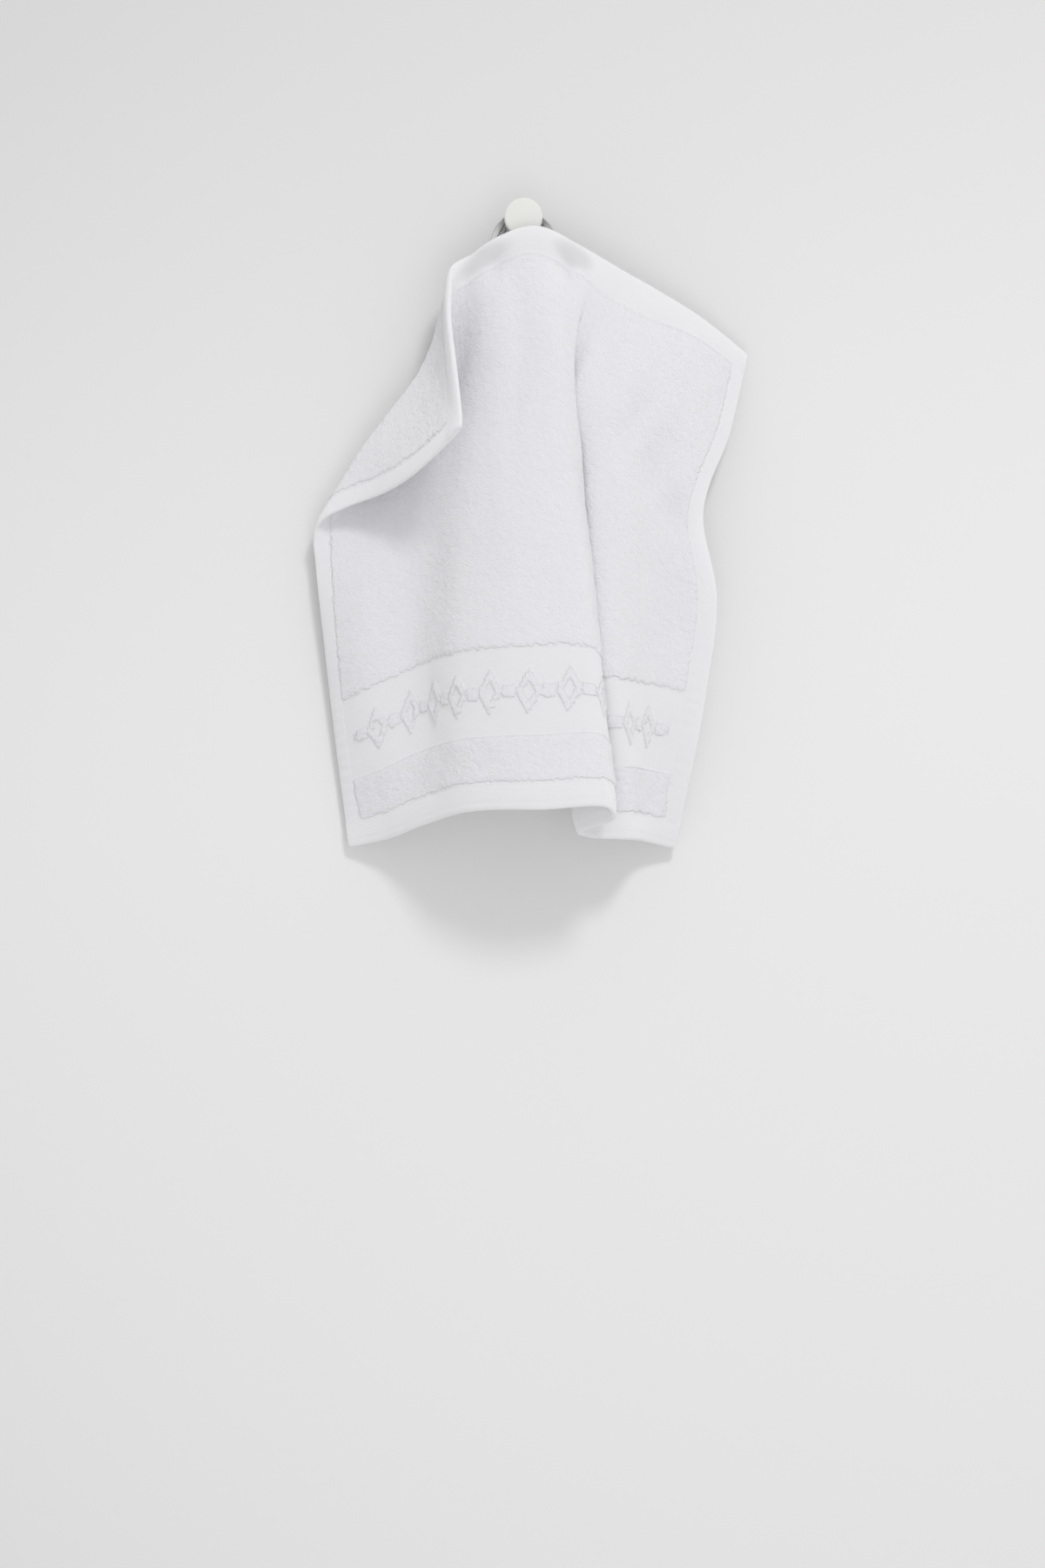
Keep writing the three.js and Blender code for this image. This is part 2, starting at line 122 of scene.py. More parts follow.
# The top left corner is folded to the front, on a bowed line between these points of the top and left edges. Its
# skew moves the bow towards the top end. The folded part drifts along the line, downwards, by its share of what it
# stands out. The bend's angle is given at the line's top end, middle and lower end.
CORNER_TOP = 111 * MM
CORNER_SIDE = 149 * MM
CORNER_BOW = 10.4 * MM
CORNER_SKEW = 0.65
CORNER_CHORD = math.hypot(CORNER_TOP, CORNER_SIDE)
CORNER_DRIFT = 0.17
BEND_RADIUS = 7 * MM
BEND_DEGREES = (129, 138, 159)
BEND_STATIONS = 240
BEND_PROBE = 6 * MM
BEND_SPAN = 0.03

# The hanging loop: where its legs bend (outwards, from the wall and up in millimetres, and the turn of the width
# in degrees) and are sewn (millimetres down the hem, and the gap behind it).
TAPE_WIDTH = 12 * MM
TAPE_THICKNESS = 1.2 * MM
TAPE_CENTRE_U = 149 * MM
TAPE_HALF_SPAN = 14 * MM
TAPE_DEPTH_ON_NECK = 21 * MM
NECK_RADIUS = 5.5 * MM
NECK_GAP = 0.6 * MM
HEM_THICKNESS = 3.8 * MM
LEG_BENDS = [(8.6, 21.5, 0.5, 12), (11.8, 24.5, -6.5, 45), (13.6, 32, -13, 75)]
SEWN_LEVELS = [(2, 3), (6, 1.5), (12, 1.2)]
TAPE_FULLNESS = 0.92

# Two ovals of painted shade on the top hem, beside the sewn ends: middle u and half width, and the level and half
# height.
PAINTED_HEM_SHADES = [(120 * MM, 20 * MM), (181 * MM, 15 * MM)]
SHADE_LEVEL = 6 * MM

# Relief of the weave. A hem is its rim's half thickness plus a swell.
SOFT_EDGE = 0.9 * MM
RAGGED_EDGE = 0.5 * MM
SIDE_RIM = 1.05 * MM
SIDE_SWELL = 0.55 * MM
END_RIM = 1.15 * MM
TOP_SWELL = 0.8 * MM
BOTTOM_SWELL = 0.85 * MM
PUCKER_HEIGHT = 0.14 * MM
PUCKER_PITCH = 7.5 * MM
CORD_HEIGHT = 0.35 * MM
CORD_WIDTH = 0.9 * MM
CREASE_DEPTH = 0.25 * MM
CREASE_WIDTH = 0.8 * MM
CREASE_LEVEL = 3 * MM
STITCH_RADIUS = 0.26 * MM
STITCH_HALF_LENGTH = 1.05 * MM
WAVE_COUNT = 28

# The studio's places. The wall's painted light is brightest low on the right.
HIGH_LIGHT = (0.56, -1.88, 1.30)
LOW_LIGHT = (0.25, -2.70, -1.00)
CAMERA = (-0.0005, -2.125, -0.320)
LENS = 85
WALL_GAP = 0.5 * MM
WALL_HALF_WIDTH = 1.6
WALL_TOP = 1.3
FLOOR_FRONT = -3.2
FLOOR_BACK = 0.8
PAINTED_LIGHT_X = 0.22
PAINTED_LIGHT_Z = -0.33


def column(rows):
    """Numbers as a column, which spreads over the rows of an array."""
    return np.asarray(rows)[:, None]


def length_of(vectors):
    """Length of each vector: the root of the sum of its squares."""
    return np.linalg.norm(vectors, axis=-1, keepdims=True)


def unit(vectors):
    """Each vector over its own length."""
    return vectors / length_of(vectors)


def dot(first, second):
    """For each pair of vectors, the sum of the products of their coordinates."""
    return (first * second).sum(axis=-1, keepdims=True)


def fade(value, low, high):
    """0 at low, 1 at high, and between them 3 w squared less 2 w cubed of the way w; low may be the larger."""
    way = np.clip((value - low) / (high - low), 0, 1)
    return way * way * (3 - 2 * way)


def running_length(points):
    """Chord lengths added up along each row of points, from 0."""
    steps = length_of(np.diff(points, axis=1))[..., 0]
    return np.concatenate([np.zeros((len(points), 1)), np.cumsum(steps, axis=1)], axis=1)


def smooth_curve(knots, values, places):
    """Rows of cubic curves through the values at the knots, read at the places.

    The slope at a knot is the mean of the rises beside it, each weighted by the other's width. At an end it is
    one and a half times the last rise less half of the next knot's slope.
    """
    width = np.diff(knots)[..., None]
    rise = np.diff(values, axis=1) / width
    inner = (rise[:, :-1] * width[:, 1:] + rise[:, 1:] * width[:, :-1]) / (width[:, 1:] + width[:, :-1])
    first = 1.5 * rise[:, :1] - 0.5 * inner[:, :1]
    last = 1.5 * rise[:, -1:] - 0.5 * inner[:, -1:]
    slope = np.concatenate([first, inner, last], axis=1)
    piece = (places[:, :, None] >= knots[:, None, 1:-1]).sum(axis=2)
    here = piece[..., None]
    start = np.take_along_axis(knots, piece, axis=1)
    step = (np.take_along_axis(knots, piece + 1, axis=1) - start)[..., None]
    w = (places - start)[..., None] / step
    rest = 1 - w
    return (
        (1 + 2 * w) * rest * rest * np.take_along_axis(values, here, axis=1)
        + w * rest * rest * step * np.take_along_axis(slope, here, axis=1)
        + w * w * (3 - 2 * w) * np.take_along_axis(values, here + 1, axis=1)
        - w * w * rest * step * np.take_along_axis(slope, here + 1, axis=1)
    )


def along_knots(knots, values, places):
    """One smooth curve of plain numbers or of points, read at a row of places."""
    table = np.asarray(values, float).reshape(len(knots), -1)
    return smooth_curve(np.asarray(knots, float)[None], table[None], np.asarray(places, float)[None])[0]


def fold_points(v):
    """Points of every fold line at the levels v: x and wall distance on smooth curves through their tables, and
    the height on the parabola through its top, middle and bottom."""
    t = column(v) / CLOTH_HEIGHT
    x = along_knots(LEVELS, LINE_X.T, v)
    wall = along_knots(LEVELS, LINE_WALL.T, v)
    z = 2 * (t - 0.5) * (t - 1) * LINE_Z[:, 0] + 4 * t * (1 - t) * LINE_Z[:, 1] + 2 * t * (t - 0.5) * LINE_Z[:, 2]
    return np.stack([x, -wall, z], axis=-1)


def dent_depth(u, v):
    """The sum of the dents: each is its depth times e to the minus squared distance in its own half widths."""
    depth = np.zeros(np.broadcast(u, v).shape)
    for across_at, down_at, across, down, deep in DENTS.values():
        depth += deep * np.exp(-(((u / MM - across_at) / across) ** 2) - ((v / MM - down_at) / down) ** 2)
    return depth * MM


def open_cloth(u, v):
    """Middle of the cloth before its corner is folded, for rows of u at the levels v: at u over the cloth's width
    of the way along the smooth curve through that level's fold points, plus the dents."""
    lines = fold_points(v)
    knots = running_length(lines)
    even = knots[:, -1:] * np.linspace(0, 1, SAMPLES + 1)
    lengths = running_length(smooth_curve(knots, lines, even))
    wanted = u / CLOTH_WIDTH * lengths[:, -1:]
    apart = column(np.arange(len(v))) * 2 * lengths.max()
    places = np.interp((wanted + apart).ravel(), (lengths + apart).ravel(), even.ravel()).reshape(wanted.shape)
    points = smooth_curve(knots, lines, places)
    points[..., 1] += dent_depth(u, column(v))
    return points


def open_points(u, v):
    """Middle of the cloth before its corner is folded, at pairs of u and v."""
    return open_cloth(column(u), v)[:, 0]


def bow_at(t):
    """Distance of the bend's line from its chord at t: 4 t (1 - t) of CORNER_BOW, more by CORNER_SKEW at the top
    end and less by it at the lower end."""
    return 4 * CORNER_BOW * t * (1 - t) * (1 + CORNER_SKEW * (1 - 2 * t))


def bend_start(t):
    """Where the bend of the corner starts, at fraction t of its line: the point of the chord, moved by the bow at
    right angles to it."""
    bow = bow_at(t) / CORNER_CHORD
    return CORNER_TOP * (1 - t) + bow * CORNER_SIDE, CORNER_SIDE * t + bow * CORNER_TOP


def bend_frames(t):
    """Point and directions at the bend's start: along its line, out across it, and forward out of the cloth. Each
    comes from points of the cloth close by: BEND_SPAN of the line on either side, and BEND_PROBE inside it."""
    reach = BEND_PROBE / CORNER_CHORD
    u, v = bend_start(t)
    base = open_points(u, v)
    inner = open_points(u + reach * CORNER_SIDE, v + reach * CORNER_TOP)
    before = open_points(*bend_start(np.clip(t - BEND_SPAN, 0, 1)))
    after = open_points(*bend_start(np.clip(t + BEND_SPAN, 0, 1)))
    along = unit(after - before)
    out = base - inner
    out = unit(out - along * dot(out, along))
    front = np.cross(out, along)
    return base, along, out, front * -np.sign(front[:, 1:2])


def middle_surface(u, v):
    """Middle of the cloth on the grid of u and v. Beyond the bend's start it turns forward on an arc of
    BEND_RADIUS through the bend's angle, and then runs straight on."""
    across, down = np.meshgrid(u, v)
    points = open_cloth(across, v)
    t = ((CORNER_TOP - across) * CORNER_TOP + down * CORNER_SIDE) / CORNER_CHORD**2
    held = np.clip(t, 0, 1)
    beyond = (1 - across / CORNER_TOP - down / CORNER_SIDE) * CORNER_TOP * CORNER_SIDE / CORNER_CHORD
    beyond += bow_at(held)
    folded = beyond > 0
    t, held, beyond = t[folded], held[folded], column(beyond[folded])
    stations = np.linspace(0, 1, BEND_STATIONS + 1)
    base, along, out, front = (
        np.stack([np.interp(held, stations, part) for part in table.T], axis=-1) for table in bend_frames(stations)
    )
    angle = along_knots([0, 0.5, 1], np.radians(BEND_DEGREES), t)
    turned = np.minimum(beyond / BEND_RADIUS, angle)
    straight = np.maximum(beyond - BEND_RADIUS * angle, 0)
    points[folded] = (
        base
        + along * (column(t - held) * CORNER_CHORD + straight * CORNER_DRIFT)
        + unit(out) * (BEND_RADIUS * np.sin(turned) + straight * np.cos(angle))
        + unit(front) * (BEND_RADIUS * (1 - np.cos(turned)) + straight * np.sin(angle))
    )
    return points


def ripples(u, v, wavelength, seed, stretch=1.0):
    """Uneven waves of about unit height: the sum of WAVE_COUNT sine waves whose directions and phases come from
    the seed and whose lengths are 0.67 to 1.4 of the wavelength; stretch lengthens them across."""
    pick = np.random.default_rng(seed)
    turn = pick.uniform(0, math.tau, WAVE_COUNT)
    phase = pick.uniform(0, math.tau, WAVE_COUNT)
    steps = math.tau / (wavelength * pick.uniform(0.67, 1.4, WAVE_COUNT))
    total = np.zeros(np.broadcast(u, v).shape)
    for angle, start, rate in zip(turn, phase, steps):
        total += np.sin(rate * (u * math.cos(angle) / stretch + v * math.sin(angle)) + start)
    return total / math.sqrt(WAVE_COUNT / 2)


def motif_inside(u, v):
    """Two values, above 0 inside a lozenge and inside a square. For a lozenge it is 1 less the distances from its
    middle across and down over its half sizes, and for a square 1 less the larger distance over its half size."""
    down = abs(v - MOTIF_MIDDLE)
    place = (u - CLOTH_WIDTH / 2) / MOTIF_PITCH
    from_lozenge = abs(place - np.round(place)) * MOTIF_PITCH
    from_square = MOTIF_PITCH / 2 - from_lozenge
    lozenge = 1 - from_lozenge / (MOTIF_WIDTH / 2) - down / (MOTIF_HEIGHT / 2)
    square = 1 - np.maximum(from_square, down) / (SQUARE_SIZE / 2)
    return lozenge, square


def zone_masks(u, v):
    """How much each place is pile, and how much it is raised motif, from 0 to 1: products of soft steps at the
    zones' borders, which ripples make ragged."""
    from_side = np.minimum(u, CLOTH_WIDTH - u)
    ragged = RAGGED_EDGE * ripples(u, v, 4 * MM, 3)
    soft = SOFT_EDGE
    side = fade(from_side + ragged, SIDE_HEM - soft, SIDE_HEM + soft)
    field = side * fade(v, TOP_HEM - soft, TOP_HEM + soft) * fade(v + ragged, FIELD_END + soft, FIELD_END - soft)
    strip_side = fade(from_side + ragged, SIDE_HEM + STRIP_INSET - soft, SIDE_HEM + STRIP_INSET + soft)
    strip = strip_side * fade(v, STRIP_START - soft, STRIP_START + soft)
    strip *= fade(v + 0.7 * ragged, HEM_START + soft, HEM_START - soft)
    lozenge, square = motif_inside(u + 0.4 * ragged, v + 0.6 * ragged)
    lozenge = fade(lozenge, -0.06, 0.1) * fade(lozenge, 0.62, 0.46)
    motif = np.maximum(lozenge, fade(square, -0.15, 0.2)) * fade(from_side, 1.4 * SIDE_HEM, 1.7 * SIDE_HEM)
    return np.maximum(field, strip), motif


def ring_profile(distance, width):
    """A rolled hem's swell: the sine of half a turn over its width, flattened by the power 0.6."""
    return np.sin(math.pi * np.clip(distance / width, 0, 1)) ** 0.6


def half_thickness(u, v, sizes):
    """Half of the cloth's thickness: the flat weave, raised to the pile or the motif where their masks say, with
    the hems' swells at the edges, a cord line above the strip, small puckers along the side hems and a crease
    along the bottom one."""
    from_side = np.minimum(u, CLOTH_WIDTH - u)
    from_bottom = CLOTH_HEIGHT - v
    pile, motif = zone_masks(u, v)
    clumps = ripples(u, v, 3.2 * MM, 5, 1.3) * 0.10 * MM + ripples(u, v, 9 * MM, 6) * 0.05 * MM
    flat = sizes.flat_thickness / 2
    half = flat + (sizes.pile_thickness / 2 - flat + clumps) * pile
    half += (sizes.motif_thickness / 2 - flat + clumps) * motif
    cord = np.exp(-(((v - STRIP_START) / CORD_WIDTH) ** 2)) * fade(from_side, 0.8 * SIDE_HEM, 1.2 * SIDE_HEM)
    half += CORD_HEIGHT * cord * (1 - pile)
    pucker = PUCKER_HEIGHT * np.sin(math.tau * v / PUCKER_PITCH + ripples(0 * u, v, 40 * MM, 8))
    side = SIDE_RIM + (SIDE_SWELL + pucker) * ring_profile(from_side, SIDE_HEM)
    half = np.where(from_side < SIDE_HEM, np.where(pile > 0, np.maximum(side, half * pile), side), half)
    top = END_RIM + TOP_SWELL * ring_profile(v, TOP_HEM)
    bottom = END_RIM + BOTTOM_SWELL * ring_profile(from_bottom, BOTTOM_HEM)
    crease = CREASE_DEPTH * np.exp(-(((from_bottom - CREASE_LEVEL) / CREASE_WIDTH) ** 2))
    half = np.where(v < TOP_HEM, np.maximum(top, half * pile), half)
    half = np.where(from_bottom < BOTTOM_HEM, np.maximum(bottom - crease, half * pile), half)
    return half


def grid_lines():
    """The grid's u, even, and v, closer over the band and the hems."""
    u = np.linspace(0, CLOTH_WIDTH, 241)
    bands = [(0, TOP_HEM, 12), (TOP_HEM, FIELD_END, 92), (FIELD_END, STRIP_START, 54)]
    bands += [(STRIP_START, HEM_START, 17), (HEM_START, CLOTH_HEIGHT, 14)]
    v = np.concatenate([[0]] + [np.linspace(start, end, count + 1)[1:] for start, end, count in bands])
    return u, v


class Weave:
    """The hanging cloth as arrays over its grid: u, v, middle points, front normals, half thickness and masks.
    Ripples of two lengths move the middle points along their normals, less so near the edges and the top."""

    def __init__(self, sizes):
        self.u, self.v = grid_lines()
        across, down = np.meshgrid(self.u, self.v)
        self.middle = middle_surface(self.u, self.v)
        inward = np.minimum(np.minimum(across, CLOTH_WIDTH - across), np.minimum(down, CLOTH_HEIGHT - down))
        calm = fade(down, 10 * MM, 60 * MM) * (0.5 + 0.5 * fade(inward, 0, 25 * MM))
        wave = ripples(across, down, 30 * MM, 11, 0.8) * 0.12 * MM + ripples(across, down, 75 * MM, 12) * 0.25 * MM
        self.middle += self.front_normals() * (wave * calm * sizes.unevenness)[..., None]
        self.normal = self.front_normals()
        self.half = half_thickness(across, down, sizes)[..., None]
        self.pile, self.motif = zone_masks(across, down)

    def front_normals(self):
        """Unit normals of the middle points: their change down the cloth crossed with their change across it."""
        fall = np.gradient(self.middle, self.v, axis=0)
        run = np.gradient(self.middle, self.u, axis=1)
        return unit(np.cross(fall, run))

    def face(self, side):
        """The front surface for side 1 and the back one for side -1."""
        return self.middle + self.normal * self.half * side

    def read(self, table, u, v):
        """A table over the grid, read between its points in proportion, at pairs of u and v."""
        i = np.clip(np.searchsorted(self.u, u) - 1, 0, len(self.u) - 2)
        j = np.clip(np.searchsorted(self.v, v) - 1, 0, len(self.v) - 2)
        a = column((u - self.u[i]) / (self.u[i + 1] - self.u[i]))
        b = column((v - self.v[j]) / (self.v[j + 1] - self.v[j]))
        upper = table[j, i] * (1 - a) + table[j, i + 1] * a
        lower = table[j + 1, i] * (1 - a) + table[j + 1, i + 1] * a
        return upper * (1 - b) + lower * b


def new_piece(name, points, faces, material):
    """A smooth mesh object from points and faces, riding on the one body and in a material slot."""
    mesh = bpy.data.meshes.new(name)
    mesh.from_pydata(np.asarray(points).reshape(-1, 3).tolist(), [], faces)
    mesh.polygons.foreach_set("use_smooth", np.ones(len(mesh.polygons), bool))
    mesh.update()
    mesh.materials.append(material)
    piece = bpy.data.objects.new(name, mesh)
    bpy.context.scene.collection.objects.link(piece)
    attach(piece, "root")
    return piece


def store(mesh, name, values):
    """One number for each point of the mesh, kept under a name."""
    mesh.attributes.new(name, "FLOAT", "POINT").data.foreach_set("value", np.asarray(values, np.float32).ravel())


def store_uv(mesh, u, v):
    """The cloth's own u and v, in metres, as its UV map."""
    corner = np.empty(len(mesh.loops), np.int32)
    mesh.loops.foreach_get("vertex_index", corner)
    pairs = np.stack([u.ravel()[corner], v.ravel()[corner]], axis=-1)
    mesh.uv_layers.new(name="cloth").data.foreach_set("uv", pairs.astype(np.float32).ravel())


def rim_order(rows, columns):
    """The grid's outer points in one loop, anticlockwise as seen from the front."""
    left = np.arange(rows - 1) * columns
    bottom = (rows - 1) * columns + np.arange(columns - 1)
    right = (rows - 1 - np.arange(rows - 1)) * columns + columns - 1
    top = columns - 1 - np.arange(columns - 1)
    return np.concatenate([left, bottom, right, top])


def quads_between(first, second):
    """Four-sided faces between two closed rings of point numbers."""
    return np.stack([first, second, np.roll(second, -1), np.roll(first, -1)], axis=-1)


def grid_quads(rows, columns):
    """Four-sided faces of a grid of point numbers, which run along its rows."""
    a = (column(np.arange(rows - 1)) * columns + np.arange(columns - 1)).ravel()
    return np.stack([a, a + columns, a + columns + 1, a + 1], axis=-1)


def build_washcloth(weave, looks):
    """The cloth as one closed mesh: its two faces, joined by a round rim in four steps."""
    rows, columns = weave.pile.shape
    count = rows * columns
    across, down = np.meshgrid(weave.u, weave.v)
    order = rim_order(rows, columns)
    front, back = weave.face(1).reshape(-1, 3), weave.face(-1).reshape(-1, 3)
    middle = (front[order] + back[order]) / 2
    through = (front[order] - back[order]) / 2
    outward = unit(np.cross(np.roll(middle, -1, axis=0) - np.roll(middle, 1, axis=0), through))
    rings = [
        middle + through * math.cos(angle) + outward * EDGE_ROUNDING * math.sin(angle)
        for angle in np.radians([45, 90, 135])
    ]
    numbers = [order] + [2 * count + k * len(order) + np.arange(len(order)) for k in range(3)] + [order + count]
    quads = grid_quads(rows, columns)
    faces = [quads, quads[:, ::-1] + count] + [quads_between(a, b) for a, b in zip(numbers, numbers[1:])]
    points = np.concatenate([front, back] + rings)
    cloth = new_piece("washcloth_terry", points, np.concatenate(faces).tolist(), terry_material(looks))

    def everywhere(table):
        flat = table.ravel()
        return np.concatenate([flat, flat, np.tile(flat[order], 3)])

    store(cloth.data, "pile", everywhere(np.maximum(weave.pile, weave.motif)))
    store_uv(cloth.data, everywhere(across), everywhere(down))
    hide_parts("washcloth")
    return cloth


def stitch_rows(sizes):
    """Pairs of u and v at the middle of each stitch, with the stitch's direction, along every hem's inner edge."""
    pitch = sizes.stitch_pitch
    inset = 1.4 * MM

    def row(start, end, fixed, down):
        places = np.arange(start + pitch / 2, end, pitch)
        same = np.full(len(places), fixed)
        return (same, places, column([down] * len(places))) if down else (places, same, column([0.0] * len(places)))

    rows = [
        row(2 * MM, CLOTH_WIDTH - 2 * MM, TOP_HEM - inset, 0.0),
        row(2 * MM, CLOTH_WIDTH - 2 * MM, HEM_START + inset, 0.0),
        row(TOP_HEM, HEM_START, SIDE_HEM - inset, 1.0),
        row(TOP_HEM, HEM_START, CLOTH_WIDTH - SIDE_HEM + inset, 1.0),
    ]
    return [np.concatenate(parts) for parts in zip(*rows)]


def build_stitches(weave, sizes, looks):
    """Short stitches on both faces, half sunk into the hems. Each is a row of rings along its run, whose radii are
    STITCH_RADIUS by the root of 1 less the squared distance from its middle over its half length."""
    u, v, down = stitch_rows(sizes)
    step = 0.6 * MM
    du, dv = step * (1 - down[:, 0]), step * down[:, 0]
    centres, alongs, outs = [], [], []
    for side in (1, -1):
        face = weave.face(side)
        centres.append(weave.read(face, u, v))
        alongs.append(unit(weave.read(face, u + du, v + dv) - weave.read(face, u - du, v - dv)))
        outs.append(side * weave.read(weave.normal, u, v))
    centre, along, out = (np.concatenate(parts)[:, None, None] for parts in (centres, alongs, outs))
    out = unit(out - along * dot(out, along))
    sideways = np.cross(along, out)
    places = np.array([-1, -0.8, -0.3, 0.3, 0.8, 1])
    around = 6
    ends = places[None, :, None, None]
    radius = np.sqrt(np.maximum(1 - ends**2, 0.02)) * STITCH_RADIUS
    turn = (math.tau * np.arange(around) / around)[None, None, :, None]
    points = centre + along * ends * STITCH_HALF_LENGTH + radius * (sideways * np.cos(turn) + out * np.sin(turn))
    ring = np.arange(around)
    starts = around * np.arange(len(places))
    sides = np.concatenate([quads_between(ring + a, ring + b)[:, ::-1] for a, b in zip(starts, starts[1:])])
    shift = np.arange(len(centre))[:, None, None] * around * len(places)
    faces = (sides[None] + shift).reshape(-1, 4).tolist()
    faces += (ring[None, None] + shift).reshape(-1, around).tolist()
    faces += (ring[None, None, ::-1] + starts[-1] + shift).reshape(-1, around).tolist()
    return new_piece("hem_stitches", points, faces, thread_material(looks))


def leg_stations(side):
    """Middle points and width directions of one leg of the tape, from the neck's top to its sewn end: 60 degrees
    round the neck, the bends, then places behind the hem, each the hem's half thickness, the gap and half of the
    tape's thickness back along the cloth's normal."""
    ring = NECK_RADIUS + NECK_GAP + TAPE_THICKNESS / 2
    angle = np.radians([0, 30, 60])
    neck = np.stack([side * ring * np.sin(angle), 0 * angle - TAPE_DEPTH_ON_NECK, ring * np.cos(angle)], axis=-1)
    bends = np.array([(side * out, -wall, z) for out, wall, z, _ in LEG_BENDS]) * MM
    turns = np.radians([turn for *_, turn in LEG_BENDS])
    bend_widths = np.stack([-side * np.sin(turns), np.cos(turns), 0 * turns], axis=-1)
    level, gap = np.array(SEWN_LEVELS).T * MM
    u = np.full(len(level), TAPE_CENTRE_U + side * TAPE_HALF_SPAN)
    inner = open_points(u - side * TAPE_WIDTH / 2, level)
    outer = open_points(u + side * TAPE_WIDTH / 2, level)
    middle = open_points(u, level)
    chord = (inner + outer) / 2
    nearest = np.where(chord[:, 1:2] > middle[:, 1:2], chord, middle)
    step = 1.5 * MM
    run = open_points(u + step, level) - open_points(u - step, level)
    fall = open_points(u, level + step) - open_points(u, np.maximum(level - step, 0))
    clear = column(HEM_THICKNESS / 2 + gap + TAPE_THICKNESS / 2)
    sewn = nearest - unit(np.cross(fall, run)) * clear
    points = np.concatenate([neck, bends, sewn])
    widths = np.concatenate([np.tile([0.0, 1.0, 0.0], (3, 1)), bend_widths, unit(inner - outer)])
    return points, widths


def build_tape(looks):
    """The loop's flat tape: a flat section with beaded edges, carried along the smooth path through both legs'
    stations and turned with their widths. The section's half thickness is the 0.35th power of the sine of its turn,
    by the bead's share."""
    left, left_width = leg_stations(-1)
    right, right_width = leg_stations(1)
    stations = np.concatenate([left[::-1], right[1:]])
    widths = np.concatenate([left_width[::-1], right_width[1:]])
    knots = running_length(stations[None])[0]
    steps = 180
    places = np.linspace(0, knots[-1], steps + 1)
    middle = along_knots(knots, stations, places)
    nudge = 0.5 * MM
    ahead = along_knots(knots, stations, np.minimum(places + nudge, knots[-1]))
    behind = along_knots(knots, stations, np.maximum(places - nudge, 0))
    along = unit(ahead - behind)
    width = along_knots(knots, widths, places)
    width = unit(width - along * dot(width, along))
    face = np.cross(along, width)
    around = 28
    turn = math.tau * np.arange(around) / around
    wide = np.cos(turn)
    thick = np.sign(np.sin(turn)) * abs(np.sin(turn)) ** 0.35
    bead = 0.78 + 0.22 * fade(abs(wide), 0.74, 0.82)
    across = wide * TAPE_WIDTH / 2
    deep = thick * bead * TAPE_THICKNESS / 2 * TAPE_FULLNESS
    points = middle[:, None] + width[:, None] * across[None, :, None] + face[:, None] * deep[None, :, None]
    ring = np.arange(around)
    starts = around * np.arange(steps + 1)
    sides = np.concatenate([quads_between(ring + a, ring + b) for a, b in zip(starts, starts[1:])])
    faces = sides.tolist() + [ring[::-1].tolist(), (ring + starts[-1]).tolist()]
    tape = new_piece("loop_tape", points, faces, tape_material(looks))
    store_uv(tape.data, np.tile(across, steps + 1), np.repeat(places, around))
    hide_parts("hanging_loop")
    return tape


def build_knob(looks):
    """The turned knob: a profile of radius and distance from the wall, with quarter circles at the head's edges and
    a soft flare at the base, carried round the axis."""
    front = -KNOB_LOW[1]
    head = (KNOB_HIGH[0] - KNOB_LOW[0]) / 2
    back = front - 10 * MM
    base = 8 * MM
    round_edge = 1.2 * MM
    quarter = np.linspace(0, math.pi / 2, 9)
    sweep = np.linspace(0, 1, 17)
    flare_radius = NECK_RADIUS + (base - NECK_RADIUS) * (1 - fade(sweep, 0, 1))
    radii = [
        [0.0, base * 0.5, base - 0.3 * MM, base],
        flare_radius,
        [NECK_RADIUS, NECK_RADIUS],
        head - round_edge + round_edge * np.sin(quarter),
        head - round_edge + round_edge * np.cos(quarter),
        [head * 0.82, head * 0.5, head * 0.2, 0.0],
    ]
    distances = [
        [0.0, 0.0, 0.0, 0.3 * MM],
        1.5 * MM + 10.5 * MM * sweep,
        [20 * MM, back - 0.05 * MM],
        back + round_edge - round_edge * np.cos(quarter),
        front - round_edge + (round_edge - 0.15 * MM) * np.sin(quarter),
        [front - 0.1 * MM, front - 0.03 * MM, front, front],
    ]
    radius, distance = np.concatenate(radii), np.concatenate(distances)
    around = 96
    turn = math.tau * np.arange(around) / around
    inner = slice(1, -1)
    rings = np.stack(
        [
            radius[inner, None] * np.cos(turn),
            -np.repeat(column(distance[inner]), around, axis=1),
            radius[inner, None] * np.sin(turn),
        ],
        axis=-1,
    )
    count = rings.shape[0]
    points = np.concatenate([rings.reshape(-1, 3), [(0, 0, 0), (0, -front, 0)]])
    ring = np.arange(around)
    starts = around * np.arange(count)
    sides = np.concatenate([quads_between(ring + a, ring + b) for a, b in zip(starts, starts[1:])])
    back_pole = around * count
    last = ring + starts[-1]
    faces = sides.tolist()
    faces += np.stack([np.roll(ring, -1), np.full(around, back_pole), ring], axis=-1).tolist()
    faces += np.stack([last, np.full(around, back_pole + 1), np.roll(last, -1)], axis=-1).tolist()
    knob = new_piece("turned_knob", points, faces, knob_material(looks))
    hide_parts("wall_knob")
    return knob


